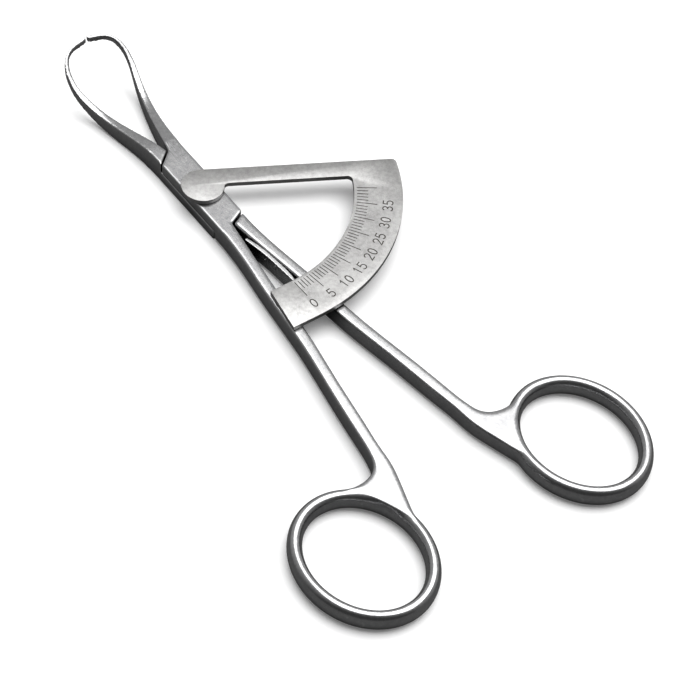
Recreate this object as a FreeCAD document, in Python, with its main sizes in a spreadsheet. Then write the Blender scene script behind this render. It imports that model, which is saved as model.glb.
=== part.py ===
import FreeCAD, Part
import math
import os
import Sketcher

# Ring-handled measuring calliper with a quadrant scale.
# Frame: origin on the pivot axis in the resting plane, +Y towards the jaw tips,
# +X towards the scale plate, +Z up out of the scale face. Millimetres and degrees.

DRIVING = [
    # pivot joint
    ("joint_height", 4.6, "height of the whole lap joint"),
    ("layer_clearance", 0.10, "gap between the two lapped layers"),
    ("joint_half_width", 3.3, "half width of the joint block"),
    ("shoulder_gap", 0.30, "gap between a layer end and the facing shoulder"),
    ("crotch_front", 12.5, "where the jaws part, from the pivot"),
    ("crotch_back", 10.6, "where the shanks part, from the pivot"),
    ("shoulder_front", 9.7, "outer end of the front shoulder"),
    ("shoulder_back", 9.0, "outer end of the back shoulder"),
    ("rivet_radius", 1.7, "pivot rivet shank radius"),
    ("rivet_head_radius", 2.6, "countersunk rivet head radius"),
    ("rivet_head_height", 0.9, "countersunk rivet head height"),
    ("running_clearance", 0.05, "radial clearance of a turning fit"),
    ("fixed_clearance", 0.02, "radial clearance of a fixed pin"),
    # jaws
    ("jaw_reach", 42.4, "pivot to jaw tip along the instrument"),
    ("jaw_bow", 6.05, "largest half opening of the closed jaws"),
    ("tip_rise", 10.3, "height of the tip centre above the resting plane"),
    ("tip_width", 0.8, "width of the jaw at its tip"),
    ("tip_gap", 0.30, "gap between the two closed tips"),
    # shanks
    ("shank_base", 0.5, "underside of a shank above the resting plane"),
    ("shank_height", 3.8, "height of a shank"),
    ("shank_width", 2.6, "width of a shank"),
    ("shank_rounding", 0.45, "rounding of a shank's long edges"),
    # finger rings
    ("ring_offset", 24.6, "ring centre from the long axis"),
    ("ring_setback", 86.8, "ring centre behind the pivot"),
    ("ring_half_width", 11.45, "half width of the ring's centre line"),
    ("ring_half_length", 13.45, "half length of the ring's centre line"),
    ("ring_bar_width", 2.8, "width of the ring bar"),
    ("ring_bar_height", 4.3, "height of the ring bar"),
    # scale plate
    ("plate_thickness", 1.0, "sheet thickness of the scale plate"),
    ("scale_outer_radius", 39.25, "outer edge of the scale arc"),
    ("scale_inner_radius", 29.6, "inner edge of the scale arc"),
    ("boss_radius", 4.25, "eye of the plate round the pivot"),
    ("arm_angle", 26.8, "slope of the plate's arm below +X"),
    ("arm_inner_offset", 0.2, "window side of the arm from the pivot"),
    ("arm_outer_offset", 4.25, "outer side of the arm from the pivot"),
    ("foot_length", 5.35, "mean reach of the plate's foot past the long axis"),
    ("foot_slant", 0.75, "how far the foot's two corners stand off that reach"),
    ("window_corner", 1.0, "corner radius of the window and the plate"),
    ("plate_pin_radius", 0.6, "pin that holds the plate's foot"),
    ("plate_pin_depth", 0.5, "blind depth of the pins in the plate"),
    # pointer
    ("pointer_thickness", 0.85, "thickness of the pointer leaf"),
    ("pointer_height", 3.4, "height of the pointer leaf"),
    ("pointer_top", 4.25, "top of the pointer leaf above the resting plane"),
    ("pointer_pin_radius", 0.4, "pin that holds the pointer"),
    ("pointer_pin_start", 0.8, "inner end of the pointer pins, from the long axis"),
    ("pointer_pin_length", 2.6, "length of the pointer pins"),
    ("side_cut_depth", 60, "width of a cut right across the instrument"),
]

# Pins of the scale plate as (x, y), and pins of the pointer as (y, z).
PLATE_PINS = [(-4.15, -32.4), (-4.6, -36.2)]
POINTER_PINS = [(-20.6, 3.3), (-23.4, 3.3)]

doc = FreeCAD.newDocument("measuring_calliper")
sheet = doc.addObject("Spreadsheet::Sheet", "sizes")
for row, (alias, number, meaning) in enumerate(DRIVING, start=1):
    sheet.set("A%d" % row, meaning)
    sheet.set("B%d" % row, str(number))
    sheet.setAlias("B%d" % row, alias)
doc.recompute()


def size(alias):
    """A driving size as a number."""
    return float(sheet.get(alias))


def vec(x, y, z=0.0):
    return FreeCAD.Vector(x, y, z)


def add_body(label):
    """A new body whose label names its file."""
    body = doc.addObject("PartDesign::Body", label)
    body.Label = label
    return body


def add_sketch(body, name, role):
    """A sketch on one of the body's three base planes."""
    sketch = body.newObject("Sketcher::SketchObject", name)
    plane = [item for item in body.Origin.OriginFeatures if item.Role == role][0]
    sketch.AttachmentSupport = [(plane, "")]
    sketch.MapMode = "FlatFace"
    return sketch


def lift(sketch, expression):
    """Moves a sketch off its plane."""
    sketch.setExpression(".AttachmentOffset.Base.z", expression)


def curve_through(points):
    """A smooth curve through points in a sketch."""
    curve = Part.BSplineCurve()
    curve.interpolate([vec(*point) for point in points])
    return curve


def run_lines(sketch, points):
    """Straight lines from point to point."""
    for start, end in zip(points, points[1:]):
        sketch.addGeometry(Part.LineSegment(vec(*start), vec(*end)), False)


def add_circle(sketch, x, y, expression):
    """A circle whose radius follows the sheet."""
    index = sketch.addGeometry(Part.Circle(vec(x, y), vec(0, 0, 1), 1.0), False)
    constraint = sketch.addConstraint(Sketcher.Constraint("Radius", index, 1.0))
    sketch.setExpression("Constraints[%d]" % constraint, expression)


def add_pad(body, sketch, name, expression):
    """Material raised from a sketch."""
    pad = body.newObject("PartDesign::Pad", name)
    pad.Profile = sketch
    pad.setExpression("Length", expression)
    doc.recompute()
    return pad


def add_pocket(body, sketch, name, expression, reverse=False, both_ways=False):
    """Material cut away from a sketch, which has to remove something."""
    volume = body.Shape.Volume
    pocket = body.newObject("PartDesign::Pocket", name)
    pocket.Profile = sketch
    pocket.setExpression("Length", expression)
    pocket.Reversed = reverse
    pocket.Midplane = both_ways
    doc.recompute()
    if body.Shape.Volume > volume - 1e-3:
        raise RuntimeError(name + " removed nothing")
    return pocket


def mirrored(points, side):
    """The points on the right (side 1) or the left (side -1) of the long axis."""
    return [(side * x, y) for x, y in points]


def jaw_outline(side):
    """Plan of one jaw: the inner bow and the outer bow, from the joint to the tip."""
    reach = size("jaw_reach")
    bow = size("jaw_bow")
    half_gap = size("tip_gap") / 2
    half_tip = size("tip_width") / 2
    inner = [
        (half_gap, size("crotch_front")),
        (1.15, 16.9),
        (3.95, 27.5),
        (5.4, 32.7),
        (bow, reach - 3.5),
        (0.80 * bow, reach - 1.6),
        (0.45 * bow, reach - 0.8),
        (half_gap, reach - half_tip),
    ]
    outer = [
        (size("joint_half_width"), size("shoulder_front")),
        (3.7, 16.7),
        (5.7, 27.5),
        (6.85, 32.5),
        (bow + 1.05, reach - 3.3),
        (0.92 * bow, reach - 1.3),
        (0.60 * bow, reach - 0.3),
        (half_gap, reach + half_tip),
    ]
    return mirrored(inner, side), mirrored(outer, side)


def jaw_profile():
    """Side view of the jaws as (y, z): level beside the joint, thinning, then rising to the tips."""
    reach = size("jaw_reach")
    top = size("joint_height")
    tip = size("tip_rise")
    upper = [(9.5, top), (14.6, top - 0.05), (20.9, 3.85), (26.1, 3.5), (30.2, 3.85), (34.4, 5.2),
             (38.6, tip - 2.2), (reach + 1.0, tip + 1.2)]
    lower = [(9.5, 0.0), (14.6, 0.0), (20.9, 0.1), (26.1, 0.4), (30.2, 1.35), (34.4, 3.35),
             (38.6, tip - 3.6), (reach + 1.0, tip + 0.2)]
    return upper, lower


def shank_outline(side):
    """Plan of one shank: the inner edge into the ring's bar, and the outer edge with its web."""
    width = size("shank_width")
    inner = [
        (size("shoulder_gap") / 2, -size("crotch_back")),
        (1.55, -21.0),
        (2.4, -27.1),
        (4.2, -42.9),
        (6.05, -53.7),
        (7.7, -64.4),
        (8.55, -69.7),
        (9.2, -74.8),
        (10.2, -78.3),
        (11.6, -82.6),
        (12.8, -86.5),
    ]
    outer = [
        (size("joint_half_width") + 0.05, -size("shoulder_back")),
        (1.55 + width, -21.0),
        (2.4 + width, -27.1),
        (4.2 + width, -42.9),
        (6.0 + width, -53.7),
        (7.7 + width, -64.4),
        (8.6 + width, -69.7),
        (12.65, -72.95),
        (15.7, -74.4),
        (19.4, -73.9),
    ]
    return mirrored(inner, side), mirrored(outer, side)


def add_jaw(body, side):
    """A jaw: its plan raised to a blank, then cut to its side view above and below."""
    inner, outer = jaw_outline(side)
    plan = add_sketch(body, "jaw_plan", "XY_Plane")
    plan.addGeometry(curve_through(inner), False)
    plan.addGeometry(curve_through(outer), False)
    run_lines(plan, [inner[0], outer[0]])
    run_lines(plan, [inner[-1], outer[-1]])
    add_pad(body, plan, "jaw_blank", "sizes.tip_rise + 3")
    upper, lower = jaw_profile()
    near, far = upper[0][0] - 0.5, upper[-1][0] + 2.0
    sky, ground = size("tip_rise") + 5.0, -1.0
    above = add_sketch(body, "above_jaw", "YZ_Plane")
    above.addGeometry(curve_through(upper[1:]), False)
    run_lines(above, [upper[1], (near, upper[0][1]), (near, sky), (far, sky), (far, upper[-1][1]), upper[-1]])
    add_pocket(body, above, "top_cut", "sizes.side_cut_depth", both_ways=True)
    below = add_sketch(body, "below_jaw", "YZ_Plane")
    below.addGeometry(curve_through(lower[1:]), False)
    run_lines(below, [lower[-1], (far, lower[-1][1]), (far, ground), (lower[1][0], ground), lower[1]])
    add_pocket(body, below, "underside_cut", "sizes.side_cut_depth", both_ways=True)


def add_layer(body, side, base, rises):
    """The half-height lap round the pivot, from shoulder to shoulder."""
    gap = size("shoulder_gap")
    half = size("joint_half_width")
    front = size("crotch_front")
    back = -size("crotch_back")
    corners = [
        (half, back + 1.6 + gap),
        (half, size("shoulder_front") + 0.1),
        (half - 0.5, front + 1.5),
        (gap / 2, front),
        (0.0, front - gap),
        (-half, size("shoulder_front") - gap),
        (-half, back - 0.9),
        (-gap, back - 0.6),
        (-gap / 2, back + gap / 2),
    ]
    lap = add_sketch(body, "lap_plan", "XY_Plane")
    run_lines(lap, mirrored(corners + [corners[0]], side))
    lift(lap, base)
    add_pad(body, lap, "lap", rises)


def add_shank(body, side, height):
    """A shank with its web, its four long edges rounded."""
    inner, outer = shank_outline(side)
    plan = add_sketch(body, "shank_plan", "XY_Plane")
    plan.addGeometry(curve_through(inner), False)
    plan.addGeometry(curve_through(outer), False)
    inside = [(side * 13.6, -84.6), (side * 17.2, -76.6)]
    run_lines(plan, [inner[0], outer[0]])
    run_lines(plan, [inner[-1]] + inside + [outer[-1]])
    lift(plan, "sizes.shank_base")
    blank = add_pad(body, plan, "shank_blank", height)
    long_edges = []
    for index, edge in enumerate(blank.Shape.Edges, start=1):
        box = edge.BoundBox
        level = box.ZLength < 0.01
        curved = edge.Curve.TypeId == "Part::GeomBSplineCurve"
        if level and curved and box.YLength > 5:
            long_edges.append("Edge%d" % index)
    rounded = body.newObject("PartDesign::Fillet", "rounded_shank")
    rounded.Base = (blank, long_edges)
    rounded.setExpression("Radius", "sizes.shank_rounding")
    doc.recompute()


def add_ring(body, side):
    """Finger ring: an oval bar swept round an oval."""
    centre = vec(side * size("ring_offset"), -size("ring_setback"))
    half_length = size("ring_half_length")
    half_width = size("ring_half_width")
    path = add_sketch(body, "ring_path", "XY_Plane")
    path.addGeometry(Part.Ellipse(centre - vec(0, half_length), centre + vec(half_width, 0), centre), False)
    lift(path, "sizes.joint_height / 2")
    bar = add_sketch(body, "ring_section", "YZ_Plane")
    middle = vec(centre.y - half_length, size("joint_height") / 2)
    high = vec(0, size("ring_bar_height") / 2)
    wide = vec(size("ring_bar_width") / 2, 0)
    bar.addGeometry(Part.Ellipse(middle - high, middle + wide, middle), False)
    lift(bar, "%d * sizes.ring_offset" % side)
    pipe = body.newObject("PartDesign::AdditivePipe", "ring")
    pipe.Profile = bar
    pipe.Spine = (path, [""])
    doc.recompute()


def make_upper_half():
    """Right jaw, upper lap, left shank and left ring, one forging."""
    body = add_body("upper_half")
    add_shank(body, -1, "sizes.joint_height - sizes.shank_base")
    add_ring(body, -1)
    add_layer(body, 1, "sizes.joint_height / 2 + sizes.layer_clearance / 2",
              "sizes.joint_height / 2 - sizes.layer_clearance / 2")
    add_jaw(body, 1)
    bores = add_sketch(body, "bores", "XY_Plane")
    add_circle(bores, 0, 0, "sizes.rivet_radius + sizes.fixed_clearance")
    for x, y in PLATE_PINS:
        add_circle(bores, x, y, "sizes.plate_pin_radius + sizes.fixed_clearance")
    add_pocket(body, bores, "bore_cut", "sizes.joint_height", reverse=True)
    return body


def make_lower_half():
    """Left jaw, lower lap, right shank and right ring, one forging."""
    body = add_body("lower_half")
    add_shank(body, 1, "sizes.shank_height")
    add_ring(body, 1)
    add_layer(body, -1, "0", "sizes.joint_height / 2 - sizes.layer_clearance / 2")
    add_jaw(body, -1)
    bore = add_sketch(body, "pivot_bore", "XY_Plane")
    add_circle(bore, 0, 0, "sizes.rivet_radius + sizes.running_clearance")
    add_pocket(body, bore, "pivot_bore_cut", "sizes.joint_height", reverse=True)
    sink = add_sketch(body, "countersink", "YZ_Plane")
    clearance = size("running_clearance")
    wide = size("rivet_head_radius") + clearance
    narrow = size("rivet_radius") + clearance
    deep = size("rivet_head_height") + clearance
    run_lines(sink, [(0, -0.5), (wide, -0.5), (wide, 0), (narrow, deep), (0, deep), (0, -0.5)])
    groove = body.newObject("PartDesign::Groove", "countersink_cut")
    groove.Profile = sink
    groove.ReferenceAxis = (sink, ["V_Axis"])
    doc.recompute()
    pins = add_sketch(body, "pointer_pin_bores", "YZ_Plane")
    for y, z in POINTER_PINS:
        add_circle(pins, y, z, "sizes.pointer_pin_radius + sizes.fixed_clearance")
    depth = "sizes.pointer_pin_start + sizes.pointer_pin_length"
    add_pocket(body, pins, "pointer_pin_cut", depth, reverse=True)
    return body


def make_pivot_rivet():
    """Turned rivet with a countersunk head under the joint."""
    body = add_body("pivot_rivet")
    section = add_sketch(body, "section", "XZ_Plane")
    shaft = size("rivet_radius")
    head = size("rivet_head_radius")
    end = size("joint_height") + size("plate_pin_depth")
    neck = size("rivet_head_height")
    run_lines(section, [(0, 0), (head, 0), (shaft, neck), (shaft, end), (0, end), (0, 0)])
    turned = body.newObject("PartDesign::Revolution", "turned")
    turned.Profile = section
    turned.ReferenceAxis = (section, ["V_Axis"])
    doc.recompute()
    return body


def polar(radius, degrees):
    """A point at a radius and an angle from +X."""
    angle = math.radians(degrees)
    return vec(radius * math.cos(angle), radius * math.sin(angle))


def plate_outline():
    """Outer edge of the scale plate: eye, arm, scale arc and foot."""
    slope = -size("arm_angle")
    along = polar(1, slope)
    across = polar(1, slope + 90)
    boss = size("boss_radius")
    outer = size("scale_outer_radius")
    inner = size("scale_inner_radius")
    side = size("arm_outer_offset")
    window = size("arm_inner_offset")
    foot = size("foot_length")
    eye_top = across * side
    far_corner = across * side + along * math.sqrt(outer ** 2 - side ** 2)
    bottom = vec(0, -outer)
    foot_low = vec(-foot - size("foot_slant"), -outer)
    foot_high = vec(-foot + size("foot_slant"), -inner)
    arc_start = vec(0, -inner)
    window_far = across * window + along * math.sqrt(inner ** 2 - window ** 2)
    window_near = across * window + along * math.sqrt(boss ** 2 - window ** 2)
    far_angle = math.degrees(math.atan2(far_corner.y, far_corner.x))
    window_angle = math.degrees(math.atan2(window_far.y, window_far.x))
    edges = [
        Part.LineSegment(eye_top, far_corner),
        Part.Arc(far_corner, polar(outer, (far_angle - 90) / 2), bottom),
        Part.LineSegment(bottom, foot_low),
        Part.LineSegment(foot_low, foot_high),
        Part.LineSegment(foot_high, arc_start),
        Part.Arc(arc_start, polar(inner, (window_angle - 90) / 2), window_far),
        Part.LineSegment(window_far, window_near),
        Part.Arc(window_near, polar(boss, slope - 180 + 45), eye_top),
    ]
    return edges


def vertical_edges_near(shape, places):
    """Names of the upright edges that stand at the given places."""
    names = []
    for index, edge in enumerate(shape.Edges, start=1):
        ends = [vertex.Point for vertex in edge.Vertexes]
        if len(ends) != 2 or abs(ends[0].z - ends[1].z) < 0.5:
            continue
        if any((vec(ends[0].x, ends[0].y) - place).Length < 0.2 for place in places):
            names.append("Edge%d" % index)
    return names


def make_scale_plate():
    """One sheet: an eye over the pivot, an arm, the quadrant and its foot."""
    body = add_body("scale_plate")
    plan = add_sketch(body, "plate_plan", "XY_Plane")
    edges = plate_outline()
    for edge in edges:
        plan.addGeometry(edge, False)
    lift(plan, "sizes.joint_height")
    sheet_pad = add_pad(body, plan, "sheet_blank", "sizes.plate_thickness")
    corners = [edges[0].EndPoint, edges[6].StartPoint, edges[6].EndPoint]
    rounded = body.newObject("PartDesign::Fillet", "rounded_corners")
    rounded.Base = (sheet_pad, vertical_edges_near(sheet_pad.Shape, corners))
    rounded.setExpression("Radius", "sizes.window_corner")
    doc.recompute()
    bores = add_sketch(body, "blind_bores", "XY_Plane")
    add_circle(bores, 0, 0, "sizes.rivet_radius + sizes.fixed_clearance")
    for x, y in PLATE_PINS:
        add_circle(bores, x, y, "sizes.plate_pin_radius + sizes.fixed_clearance")
    lift(bores, "sizes.joint_height")
    add_pocket(body, bores, "blind_cut", "sizes.plate_pin_depth", reverse=True)
    return body


def make_plate_pins():
    """Two pins up through the left shank into the plate's foot."""
    pins = []
    for number, (x, y) in enumerate(PLATE_PINS, start=1):
        pin = doc.addObject("Part::Cylinder", "plate_pin_%d" % number)
        pin.setExpression("Radius", "sizes.plate_pin_radius")
        pin.setExpression("Height", "sizes.joint_height + sizes.plate_pin_depth - sizes.shank_base")
        pin.Placement.Base = vec(x, y, size("shank_base"))
        pins.append(pin)
    group = doc.addObject("Part::Compound", "plate_pins")
    group.Links = pins
    group.Label = "plate_pins"
    doc.recompute()
    return group


def pointer_outline():
    """Plan of the wavy leaf: free tail, seat on the shank and needle end."""
    thick = size("pointer_thickness")
    side = [(-0.42, -15.2), (0.13, -17.9), (0.64, -20.9), (0.91, -23.6), (1.11, -26.1), (1.33, -29.2)]
    back = [(x + thick, y) for x, y in side]
    back[0] = (side[0][0] + 0.5, side[0][1] + 0.2)
    back[-1] = (side[-1][0] + 0.25, side[-1][1] - 0.3)
    return side, back


def make_pointer():
    """The pointer leaf with its pin holes."""
    body = add_body("pointer")
    near, far = pointer_outline()
    plan = add_sketch(body, "leaf_plan", "XY_Plane")
    plan.addGeometry(curve_through(near), False)
    plan.addGeometry(curve_through(far), False)
    run_lines(plan, [near[0], far[0]])
    run_lines(plan, [near[-1], far[-1]])
    lift(plan, "sizes.pointer_top - sizes.pointer_height")
    add_pad(body, plan, "leaf", "sizes.pointer_height")
    pins = add_sketch(body, "pin_bores", "YZ_Plane")
    for y, z in POINTER_PINS:
        add_circle(pins, y, z, "sizes.pointer_pin_radius + sizes.fixed_clearance")
    add_pocket(body, pins, "pin_cut", "sizes.side_cut_depth", both_ways=True)
    return body


def make_pointer_pins():
    """Two short pins through the leaf into the right shank."""
    pins = []
    for number, (y, z) in enumerate(POINTER_PINS, start=1):
        pin = doc.addObject("Part::Cylinder", "pointer_pin_%d" % number)
        pin.setExpression("Radius", "sizes.pointer_pin_radius")
        pin.setExpression("Height", "sizes.pointer_pin_length")
        start = vec(size("pointer_pin_start"), y, z)
        pin.Placement = FreeCAD.Placement(start, FreeCAD.Rotation(vec(0, 1, 0), 90))
        pins.append(pin)
    group = doc.addObject("Part::Compound", "pointer_pins")
    group.Links = pins
    group.Label = "pointer_pins"
    doc.recompute()
    return group


parts = [
    make_upper_half(),
    make_lower_half(),
    make_pivot_rivet(),
    make_scale_plate(),
    make_plate_pins(),
    make_pointer(),
    make_pointer_pins(),
]
doc.recompute()

for item in doc.Objects:
    if "Invalid" in item.State or "Error" in item.State:
        raise RuntimeError(item.Name + " failed to build")

os.makedirs("parts", exist_ok=True)
for part in parts:
    if part.Shape.isNull() or not part.Shape.isValid():
        raise RuntimeError(part.Label + " has no valid shape")
    part.Shape.exportStep(os.path.join("parts", part.Label + ".step"))
    print(part.Label, len(part.Shape.Solids), round(part.Shape.Volume, 2), part.Shape.optimalBoundingBox())
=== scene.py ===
import math

import bmesh
import bpy
from mathutils import Matrix, Vector


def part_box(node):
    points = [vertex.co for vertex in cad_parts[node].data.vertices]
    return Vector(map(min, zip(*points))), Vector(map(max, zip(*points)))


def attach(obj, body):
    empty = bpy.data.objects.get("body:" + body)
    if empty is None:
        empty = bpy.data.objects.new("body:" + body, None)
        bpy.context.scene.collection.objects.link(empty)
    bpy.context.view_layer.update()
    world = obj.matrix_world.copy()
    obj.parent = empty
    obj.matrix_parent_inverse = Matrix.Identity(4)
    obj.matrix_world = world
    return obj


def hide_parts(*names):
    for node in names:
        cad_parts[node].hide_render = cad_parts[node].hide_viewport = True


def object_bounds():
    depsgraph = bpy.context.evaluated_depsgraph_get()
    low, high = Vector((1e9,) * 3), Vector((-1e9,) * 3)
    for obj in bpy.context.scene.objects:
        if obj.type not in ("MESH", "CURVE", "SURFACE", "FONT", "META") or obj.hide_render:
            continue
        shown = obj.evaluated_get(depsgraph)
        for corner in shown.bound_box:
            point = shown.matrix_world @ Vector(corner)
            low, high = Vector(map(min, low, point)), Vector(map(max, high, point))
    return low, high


# A ring-handled measuring calliper of satin steel, lying closed on a white table.
# Sizes of the object are in millimetres and angles in degrees. The stage, the light and
# the camera are placed in metres, the unit of the scene.

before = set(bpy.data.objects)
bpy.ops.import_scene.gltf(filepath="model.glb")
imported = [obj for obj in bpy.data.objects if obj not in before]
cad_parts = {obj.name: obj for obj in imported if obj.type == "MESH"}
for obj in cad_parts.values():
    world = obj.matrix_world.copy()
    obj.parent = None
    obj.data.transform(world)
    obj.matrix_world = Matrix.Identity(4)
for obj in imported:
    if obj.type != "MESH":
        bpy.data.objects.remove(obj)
cad_low, cad_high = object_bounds()

MM = 0.001

# The scale follows the jaws: the line for an opening of d millimetres stands at the angle
# whose chord is d at the reach of the jaws.
JAW_REACH = 42.4
SCALE_START = 1.0  # from straight down to the zero line
SCALE_END = 40  # opening at the last line
LABEL_STEP = 5
LABEL_END = 35  # opening at the last number
TICK_FOOT = 30.2
TICK_SHORT = 32.4
TICK_LONG = 34.2
TICK_WIDTH = 0.17
LABEL_RADIUS = 36.3
LABEL_HEIGHT = 1.9
DIGIT_STEP = 0.84  # from one digit to the next, in digit heights
DIGIT_MIDDLE = 0.3  # half a digit's width, in digit heights
STROKE_WIDTH = 0.23
CUT_DEPTH = 0.10
CUTTER_RISE = 0.2  # how far the cutter stands out of the plate
MITRE_LIMIT = 0.5  # least cosine at a corner of a stroke, which keeps it from spiking
CLOSED_GAP = 1e-6

# Softening of the forged and filed edges.
WELD_DISTANCE = 0.0005
RELAX_STEP = 0.5
FORGING_VOXEL, FORGING_ROUNDS = 0.18, 16
LEAF_VOXEL, LEAF_ROUNDS = 0.09, 3
RIVET_VOXEL, RIVET_ROUNDS = 0.12, 3

# Where a shank's web meets its ring, seen from above on either side.
WEB_CENTRE = Vector((16.0, -78.5))
WEB_REACH = 9.5
WEB_FADE = 3.0
WEB_ROUNDS = 45

# The plate's rounded edges.
FLAT_ANGLE = 0.5
PLATE_ROUNDING = 0.12
PLATE_SEGMENTS = 4
PLATE_EDGE_ANGLE = 40
PLATE_SHARP_ANGLE = 15


# ---------------------------------------------------------------- materials

# Noise scales are in cycles per millimetre, and a span is the two values mapped to each end.
FINE_SCALE = 9.0
MOTTLE_SCALE = 1.3
CLOUD_SCALE = 0.16
LINE_SCALE = 5.0
GRIME_SCALE = 6.0
CLOUD_SHARE = 0.35
TONE_SPAN = (0.42, 0.92)
WEAR_SPAN = (0.51, 0.62)  # pointiness of a face and of a worn edge
WORN_TONE = (0.72, 0.72, 0.71, 1)
# Painted shade: ambient occlusion darkens the steel's colour in corners and narrow gaps, over
# the span below, down to the tone after it.
OPEN_SPAN = (0.25, 0.80)  # openness of a deep corner and of an open face, for the painted shade
CORNER_SHADE_TONE = 0.16
LINE_SPAN = (0.3, 0.7)
RELIEF_DEPTH = 0.012
OXIDE_SPAN = (0.3, 0.75)
OXIDE_DARK, OXIDE_PALE = (0.020, 0.015, 0.012), (0.075, 0.060, 0.050)
OXIDE_DEPTH = 0.01


def node_tools(name):
    """A new material, the function that links its nodes, and one that adds a node."""
    material = bpy.data.materials.new(name)
    material.use_nodes = True
    tree = material.node_tree
    tree.nodes.clear()

    def add(kind, **settings):
        node = tree.nodes.new(kind)
        for key, value in settings.items():
            if key in node.inputs:
                node.inputs[key].default_value = value
            else:
                setattr(node, key, value)
        return node

    return material, tree.links.new, add


def ramp(add, span, first, last):
    """A colour ramp over a span, between two greys or two colours."""
    node = add("ShaderNodeValToRGB")
    for stop, place, tone in zip(node.color_ramp.elements, span, (first, last)):
        stop.position = place
        stop.color = (tone, tone, tone, 1) if isinstance(tone, float) else (*tone, 1)
    return node


def steel(name, low, high, rough, grain=0.5, brush=(1, 1, 1), bump=0.25, crevice=0.9):
    """Satin stainless steel: fine grain, mottling, brushed lines, worn edges, painted shade in
    corners.

    low and high are the darkest and the palest tone, and rough is the span of roughness.
    grain is the share of fine grain against mottling, brush how the lines are stretched
    along each axis, bump the strength of the relief, and crevice how far painted corner shade
    reaches.
    """
    material, link, add = node_tools(name)
    place = add("ShaderNodeTexCoord")
    size = add("ShaderNodeMapping", Scale=(1 / MM, 1 / MM, 1 / MM))
    link(place.outputs["Object"], size.inputs["Vector"])
    streak = add("ShaderNodeMapping", Scale=brush)
    link(size.outputs["Vector"], streak.inputs["Vector"])

    fine = add("ShaderNodeTexNoise", Scale=FINE_SCALE, Detail=6.0, Roughness=0.62)
    mottle = add("ShaderNodeTexNoise", Scale=MOTTLE_SCALE, Detail=4.0, Roughness=0.55)
    cloud = add("ShaderNodeTexNoise", Scale=CLOUD_SCALE, Detail=2.0, Roughness=0.5)
    lines = add("ShaderNodeTexNoise", Scale=LINE_SCALE, Detail=5.0, Roughness=0.6)
    for node in (fine, mottle, cloud):
        link(size.outputs["Vector"], node.inputs["Vector"])
    link(streak.outputs["Vector"], lines.inputs["Vector"])

    # Tone: grain and mottling on broad clouds.
    blend = add("ShaderNodeMix", data_type="FLOAT", Factor=grain)
    link(mottle.outputs["Fac"], blend.inputs["A"])
    link(fine.outputs["Fac"], blend.inputs["B"])
    pattern = add("ShaderNodeMath", operation="MULTIPLY_ADD")
    pattern.inputs[1].default_value = CLOUD_SHARE
    link(cloud.outputs["Fac"], pattern.inputs[0])
    link(blend.outputs["Result"], pattern.inputs[2])
    tone = ramp(add, TONE_SPAN, low, high)
    link(pattern.outputs["Value"], tone.inputs["Fac"])

    # Edges worn paler, in patches.
    form = add("ShaderNodeNewGeometry")
    edge = ramp(add, WEAR_SPAN, 0.0, 1.0)
    link(form.outputs["Pointiness"], edge.inputs["Fac"])
    wear = add("ShaderNodeMath", operation="MULTIPLY")
    link(edge.outputs["Color"], wear.inputs[0])
    link(mottle.outputs["Fac"], wear.inputs[1])
    worn = add("ShaderNodeMix", data_type="RGBA")
    worn.inputs["B"].default_value = WORN_TONE
    link(wear.outputs["Value"], worn.inputs["Factor"])
    link(tone.outputs["Color"], worn.inputs["A"])

    # Painted shade: corners and narrow gaps are darkened in the colour by ambient occlusion,
    # standing in for the shade that falls there.
    hollow = add("ShaderNodeAmbientOcclusion", samples=6, Distance=crevice * MM)
    shade = ramp(add, OPEN_SPAN, CORNER_SHADE_TONE, 1.0)
    link(hollow.outputs["AO"], shade.inputs["Fac"])
    shaded_corners = add("ShaderNodeMix", data_type="RGBA", blend_type="MULTIPLY", Factor=1.0)
    link(worn.outputs["Result"], shaded_corners.inputs["A"])
    link(shade.outputs["Color"], shaded_corners.inputs["B"])

    # Gloss that varies along the brushed lines, and their relief.
    gloss = add("ShaderNodeMapRange")
    gloss.inputs["From Min"].default_value, gloss.inputs["From Max"].default_value = LINE_SPAN
    gloss.inputs["To Min"].default_value, gloss.inputs["To Max"].default_value = rough
    link(lines.outputs["Fac"], gloss.inputs["Value"])
    height = add("ShaderNodeMath", operation="ADD")
    link(fine.outputs["Fac"], height.inputs[0])
    link(lines.outputs["Fac"], height.inputs[1])
    relief = add("ShaderNodeBump", Strength=bump, Distance=RELIEF_DEPTH * MM)
    link(height.outputs["Value"], relief.inputs["Height"])

    shader = add("ShaderNodeBsdfPrincipled", Metallic=1.0)
    link(shaded_corners.outputs["Result"], shader.inputs["Base Color"])
    link(gloss.outputs["Result"], shader.inputs["Roughness"])
    link(relief.outputs["Normal"], shader.inputs["Normal"])
    out = add("ShaderNodeOutputMaterial")
    link(shader.outputs["BSDF"], out.inputs["Surface"])
    return material


def groove_dark(name):
    """Dark brownish oxide left in the engraved lines."""
    material, link, add = node_tools(name)
    place = add("ShaderNodeTexCoord")
    grime = add("ShaderNodeTexNoise", Scale=GRIME_SCALE / MM, Detail=4.0, Roughness=0.6)
    link(place.outputs["Object"], grime.inputs["Vector"])
    tone = ramp(add, OXIDE_SPAN, OXIDE_DARK, OXIDE_PALE)
    link(grime.outputs["Fac"], tone.inputs["Fac"])
    relief = add("ShaderNodeBump", Strength=0.3, Distance=OXIDE_DEPTH * MM)
    link(grime.outputs["Fac"], relief.inputs["Height"])
    shader = add("ShaderNodeBsdfPrincipled", Metallic=0.2, Roughness=0.75)
    link(tone.outputs["Color"], shader.inputs["Base Color"])
    link(relief.outputs["Normal"], shader.inputs["Normal"])
    out = add("ShaderNodeOutputMaterial")
    link(shader.outputs["BSDF"], out.inputs["Surface"])
    return material


# crevice sets how far each steel's painted corner shade reaches; the pointer's reaches
# furthest, darkening the gap beside it.
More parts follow.
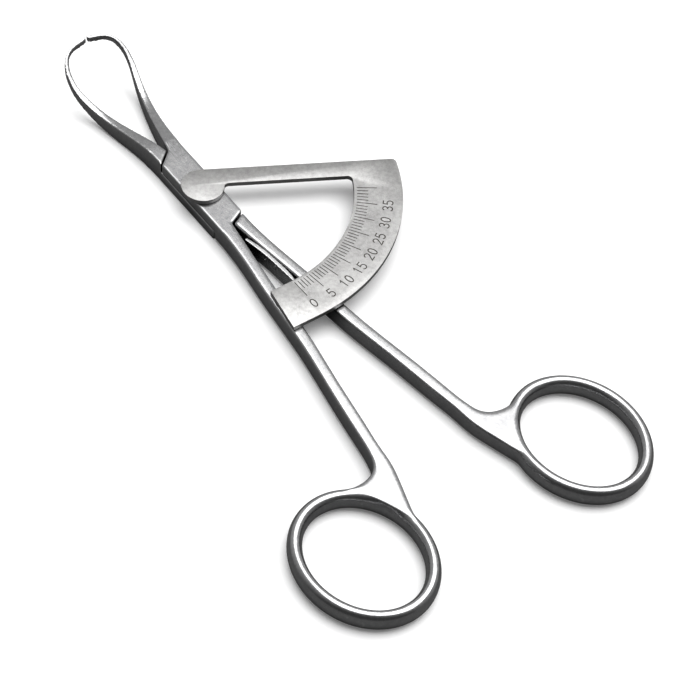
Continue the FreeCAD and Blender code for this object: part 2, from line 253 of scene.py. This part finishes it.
SATIN = steel(
    "satin_steel", (0.33, 0.33, 0.34), (0.54, 0.54, 0.54), (0.19, 0.27),
    brush=(1, 0.12, 1), bump=0.045, crevice=1.5,
)
PLATE = steel(
    "plate_steel", (0.19, 0.188, 0.185), (0.50, 0.496, 0.49), (0.30, 0.40),
    grain=0.62, brush=(0.5, 1, 1), bump=0.5,
)
POINTER = steel(
    "pointer_steel", (0.36, 0.36, 0.365), (0.60, 0.60, 0.60), (0.20, 0.32),
    brush=(1, 0.2, 1), bump=0.08, crevice=3.0,
)
PIN = steel("pin_steel", (0.38, 0.38, 0.39), (0.60, 0.60, 0.61), (0.25, 0.38))
GROOVE = groove_dark("engraving_dark")


# ---------------------------------------------------------------- meshes

def in_scene(name, data):
    """A new object in the scene."""
    obj = bpy.data.objects.new(name, data)
    bpy.context.scene.collection.objects.link(obj)
    return obj


def from_modifiers(obj):
    """The mesh that an object's modifiers make. The object itself is removed."""
    graph = bpy.context.evaluated_depsgraph_get()
    graph.update()
    mesh = bpy.data.meshes.new_from_object(obj.evaluated_get(graph))
    bpy.data.objects.remove(obj)
    return mesh


def add_relax(obj, rounds, group=""):
    """Smoothing of an object's mesh, everywhere or by a vertex group."""
    relax = obj.modifiers.new("relax", "SMOOTH")
    relax.factor = RELAX_STEP
    relax.iterations = rounds
    relax.vertex_group = group


def working_copy(node):
    """A CAD node's mesh as a loose object in millimetres, its doubled vertices joined."""
    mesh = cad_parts[node].data.copy()
    form = bmesh.new()
    form.from_mesh(mesh)
    bmesh.ops.scale(form, vec=Vector((1, 1, 1)) / MM, verts=form.verts)
    bmesh.ops.remove_doubles(form, verts=form.verts, dist=WELD_DISTANCE)
    form.to_mesh(mesh)
    form.free()
    mesh.materials.clear()
    # The CAD mesh's own normals no longer fit once its faces change.
    if "custom_normal" in mesh.attributes:
        mesh.attributes.remove(mesh.attributes["custom_normal"])
    return in_scene(node + "_work", mesh)


def as_piece(name, mesh, body, materials, node):
    """A finished piece in metres that stands for a CAD node."""
    mesh.transform(Matrix.Scale(MM, 4))
    mesh.materials.clear()
    for material in materials:
        mesh.materials.append(material)
    obj = in_scene(name, mesh)
    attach(obj, body)
    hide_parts(node)


def blended_webs(mesh):
    """The webs where shanks meet rings, relaxed further so that they run into the bars."""
    work = in_scene("web_work", mesh)
    group = work.vertex_groups.new(name="web")
    for vertex in mesh.vertices:
        spot = Vector((abs(vertex.co.x), vertex.co.y))
        weight = (WEB_REACH - (spot - WEB_CENTRE).length) / WEB_FADE
        if weight > 0:
            group.add([vertex.index], min(weight, 1.0), "REPLACE")
    add_relax(work, WEB_ROUNDS, group.name)
    return from_modifiers(work)


def softened(name, node, body, material, voxel, rounds, webs=False):
    """A CAD node with every edge hand-softened: an even fine mesh, then relaxed."""
    work = working_copy(node)
    remesh = work.modifiers.new("even", "REMESH")
    remesh.mode = "VOXEL"
    remesh.voxel_size = voxel
    add_relax(work, rounds)
    mesh = from_modifiers(work)
    if webs:
        mesh = blended_webs(mesh)
    mesh.shade_smooth()
    as_piece(name, mesh, body, [material], node)


# ---------------------------------------------------------------- engraving

def bowl(centre, radii, start, end, steps):
    """Points round an ellipse between two angles."""
    turns = [math.radians(start + (end - start) * i / steps) for i in range(steps + 1)]
    return [
        (centre[0] + radii[0] * math.cos(turn), centre[1] + radii[1] * math.sin(turn))
        for turn in turns
    ]


# Each digit is one stroke in a box 0.6 wide and 1 high.
DIGITS = {
    "0": bowl((0.3, 0.5), (0.27, 0.5), 90, 450, 20),
    "1": [(0.14, 0.78), (0.34, 1.0), (0.34, 0.0)],
    "2": bowl((0.3, 0.72), (0.27, 0.28), 170, -35, 10) + [(0.03, 0.0), (0.6, 0.0)],
    "3": (
        bowl((0.28, 0.75), (0.25, 0.25), 160, -80, 9)
        + bowl((0.28, 0.27), (0.29, 0.27), 80, -160, 10)
    ),
    "5": (
        [(0.55, 1.0), (0.12, 1.0), (0.07, 0.56)]
        + bowl((0.28, 0.31), (0.29, 0.31), 125, -150, 11)
    ),
}


def stroke_sides(line, width, closed):
    """Left and right points beside each point of a line, mitred at its corners."""
    sides = []
    for i, here in enumerate(line):
        before = line[i - 1] if closed or i else None
        after = line[(i + 1) % len(line)] if closed or i < len(line) - 1 else None
        first = (here - before).normalized() if before is not None else None
        second = (after - here).normalized() if after is not None else None
        way = (first or second) + (second or first)
        way.normalize()
        across = Vector((-way.y, way.x))
        lean = max(abs((second or first).dot(way)), MITRE_LIMIT)
        sides.append((here + across * width / 2 / lean, here - across * width / 2 / lean))
    return sides


def ribbon(form, points, width, floor, ceiling):
    """A closed solid strip of even width along a line of points in the plane."""
    line = [Vector(point) for point in points]
    closed = (line[0] - line[-1]).length < CLOSED_GAP
    if closed:
        line.pop()
    rims = []
    for left, right in stroke_sides(line, width, closed):
        corners = ((left, floor), (left, ceiling), (right, ceiling), (right, floor))
        rims.append([form.verts.new((*spot, level)) for spot, level in corners])
    for i in range(len(rims) if closed else len(rims) - 1):
        now, then = rims[i], rims[(i + 1) % len(rims)]
        for k in range(4):
            form.faces.new((now[k], now[(k + 1) % 4], then[(k + 1) % 4], then[k]))
    if not closed:
        form.faces.new(rims[0][::-1])
        form.faces.new(rims[-1])


def scale_directions(opening):
    """Unit vectors out along the line for an opening, and along the arc there."""
    angle = math.radians(SCALE_START) + 2 * math.asin(opening / 2 / JAW_REACH)
    out = Vector((math.sin(angle), -math.cos(angle)))
    along = Vector((math.cos(angle), math.sin(angle)))
    return out, along


def engraving(top):
    """The cutter for the millimetre lines and their numbers, for a face at this height."""
    form = bmesh.new()
    floor, ceiling = top - CUT_DEPTH, top + CUTTER_RISE
    for opening in range(SCALE_END + 1):
        out, _ = scale_directions(opening)
        end = TICK_SHORT if opening % LABEL_STEP else TICK_LONG
        ribbon(form, [out * TICK_FOOT, out * end], TICK_WIDTH, floor, ceiling)
    for opening in range(0, LABEL_END + 1, LABEL_STEP):
        out, along = scale_directions(opening)
        word = str(opening)
        step = DIGIT_STEP * LABEL_HEIGHT
        start = -step * (len(word) - 1) / 2 - DIGIT_MIDDLE * LABEL_HEIGHT
        for i, digit in enumerate(word):
            spots = [
                out * (LABEL_RADIUS + (0.5 - v) * LABEL_HEIGHT)
                + along * (start + i * step + u * LABEL_HEIGHT)
                for u, v in DIGITS[digit]
            ]
            ribbon(form, spots, STROKE_WIDTH, floor, ceiling)
    bmesh.ops.recalc_face_normals(form, faces=form.faces)
    mesh = bpy.data.meshes.new("engraving_cutter")
    form.to_mesh(mesh)
    form.free()
    return in_scene("engraving_cutter", mesh)


def merge_flat_faces(mesh):
    """Joins a mesh's triangles into whole flat faces, so that its edges round cleanly."""
    form = bmesh.new()
    form.from_mesh(mesh)
    bmesh.ops.dissolve_limit(
        form, angle_limit=math.radians(FLAT_ANGLE), verts=form.verts, edges=form.edges
    )
    form.to_mesh(mesh)
    form.free()


def make_plate():
    """The quadrant plate: small rounded edges, then the cut lines with dark floors."""
    work = working_copy("scale_plate")
    merge_flat_faces(work.data)
    round_off = work.modifiers.new("edges", "BEVEL")
    round_off.width = PLATE_ROUNDING
    round_off.segments = PLATE_SEGMENTS
    round_off.limit_method = "ANGLE"
    round_off.angle_limit = math.radians(PLATE_EDGE_ANGLE)
    cutter = engraving(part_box("scale_plate")[1][2] / MM)
    work.data.materials.append(PLATE)
    cutter.data.materials.append(GROOVE)
    cut = work.modifiers.new("lines", "BOOLEAN")
    cut.operation = "DIFFERENCE"
    cut.solver = "EXACT"
    cut.use_self = True
    cut.material_mode = "TRANSFER"
    cut.object = cutter
    mesh = from_modifiers(work)
    bpy.data.objects.remove(cutter)

    # Giving the piece its materials resets its faces, so the dark ones are noted first.
    dark_slot = mesh.materials.find(GROOVE.name)
    dark = [face.material_index == dark_slot for face in mesh.polygons]
    as_piece("engraved_plate", mesh, "frame_half", [PLATE, GROOVE], "scale_plate")
    for face, is_dark in zip(mesh.polygons, dark):
        face.material_index = int(is_dark)
    mesh.shade_smooth()
    mesh.set_sharp_from_angle(angle=math.radians(PLATE_SHARP_ANGLE))


for side, body in (("upper", "frame_half"), ("lower", "swing_half")):
    softened(
        side + "_half_forging", side + "_half", body, SATIN,
        FORGING_VOXEL, FORGING_ROUNDS, webs=True,
    )
softened(
    "pointer_leaf", "pointer", "swing_half", POINTER, LEAF_VOXEL, LEAF_ROUNDS
)
softened(
    "hinge_rivet", "pivot_rivet", "frame_half", PIN, RIVET_VOXEL, RIVET_ROUNDS
)
make_plate()
for node in ("plate_pins", "pointer_pins"):
    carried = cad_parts[node].data
    carried.materials.clear()
    carried.materials.append(PIN)


# ---------------------------------------------------------------- stage, light and camera

FLOOR_REACH = 3.0
FLOOR_DROP = 0.00002  # clear of the lowest face
FLOOR_SEEN = (0.93, 0.93, 0.93, 1)
FLOOR_GLOW = 0.12
FLOOR_MIRRORED = (0.11, 0.11, 0.11, 1)

# Seen from the camera, the shanks' tops mirror this light up to its far edge, and the
# joint and the plate mirror the grey room past that edge.
KEY_PLACE = (0.316, -0.043, 0.9)
KEY_SIZE = (1.04, 1.2)
KEY_TURN = 47.9
KEY_POWER = 13.5

ROOM_AXIS = (0.58, 0.64, 0.5)  # towards the pale end of the room
ROOM_SPAN = (-0.4, 0.8)
ROOM_TONES = (0.06, 0.50)

SENSOR_WIDTH = 36
LENS = 124.58
CAMERA_PLACE = (-0.195895, -0.265300, 0.345824)
CAMERA_TURN = -42.137  # about the vertical, from looking along +Y
CAMERA_TIP = 40.571  # up from looking straight down
CAMERA_ROLL = 7.715


def make_floor():
    """A plain white table, darker to reflections than to the eye: the steel keeps contrast."""
    reach = FLOOR_REACH
    mesh = bpy.data.meshes.new("floor")
    corners = [(-reach, -reach, 0), (reach, -reach, 0), (reach, reach, 0), (-reach, reach, 0)]
    mesh.from_pydata(corners, [], [(0, 1, 2, 3)])
    obj = in_scene("floor", mesh)
    obj.location.z = cad_low[2] - FLOOR_DROP
    material, link, add = node_tools("floor_white")
    path = add("ShaderNodeLightPath")
    seen = add("ShaderNodeBsdfDiffuse", Color=FLOOR_SEEN)
    lift = add("ShaderNodeEmission", Strength=FLOOR_GLOW)
    bright = add("ShaderNodeAddShader")
    link(seen.outputs["BSDF"], bright.inputs[0])
    link(lift.outputs["Emission"], bright.inputs[1])
    mirrored = add("ShaderNodeBsdfDiffuse", Color=FLOOR_MIRRORED)
    choose = add("ShaderNodeMixShader")
    link(path.outputs["Is Camera Ray"], choose.inputs["Fac"])
    link(mirrored.outputs["BSDF"], choose.inputs[1])
    link(bright.outputs["Shader"], choose.inputs[2])
    out = add("ShaderNodeOutputMaterial")
    link(choose.outputs["Shader"], out.inputs["Surface"])
    mesh.materials.append(material)


def make_key():
    """A level soft light over the table, turned about the vertical."""
    lamp = bpy.data.lights.new("key", "AREA")
    lamp.shape = "RECTANGLE"
    lamp.size, lamp.size_y = KEY_SIZE
    lamp.energy = KEY_POWER
    obj = in_scene("key", lamp)
    obj.location = KEY_PLACE
    obj.rotation_euler = (0, 0, math.radians(KEY_TURN))


def make_world():
    """A dim room: paler beyond the jaws, darker on the near side."""
    world = bpy.data.worlds.new("studio")
    bpy.context.scene.world = world
    world.use_nodes = True
    tree = world.node_tree
    place = tree.nodes.new("ShaderNodeTexCoord")
    facing = tree.nodes.new("ShaderNodeVectorMath")
    facing.operation = "DOT_PRODUCT"
    facing.inputs[1].default_value = ROOM_AXIS
    tone = tree.nodes.new("ShaderNodeMapRange")
    tone.inputs["From Min"].default_value, tone.inputs["From Max"].default_value = ROOM_SPAN
    tone.inputs["To Min"].default_value, tone.inputs["To Max"].default_value = ROOM_TONES
    tree.links.new(place.outputs["Generated"], facing.inputs[0])
    tree.links.new(facing.outputs["Value"], tone.inputs["Value"])
    tree.links.new(tone.outputs["Result"], tree.nodes["Background"].inputs["Color"])


def make_camera():
    """The camera, beyond the left ring and looking down across the scale."""
    lens = bpy.data.cameras.new("camera")
    lens.sensor_width = SENSOR_WIDTH
    lens.lens = LENS
    lens.clip_start = 0.01
    obj = in_scene("camera", lens)
    turn = Matrix.Rotation(math.radians(CAMERA_TURN), 4, "Z")
    tip = Matrix.Rotation(math.radians(CAMERA_TIP), 4, "X")
    roll = Matrix.Rotation(math.radians(CAMERA_ROLL), 4, "Z")
    obj.matrix_world = Matrix.Translation(CAMERA_PLACE) @ turn @ tip @ roll
    bpy.context.scene.camera = obj


make_floor()
make_world()
make_key()
make_camera()
bpy.context.scene.view_settings.view_transform = "Standard"
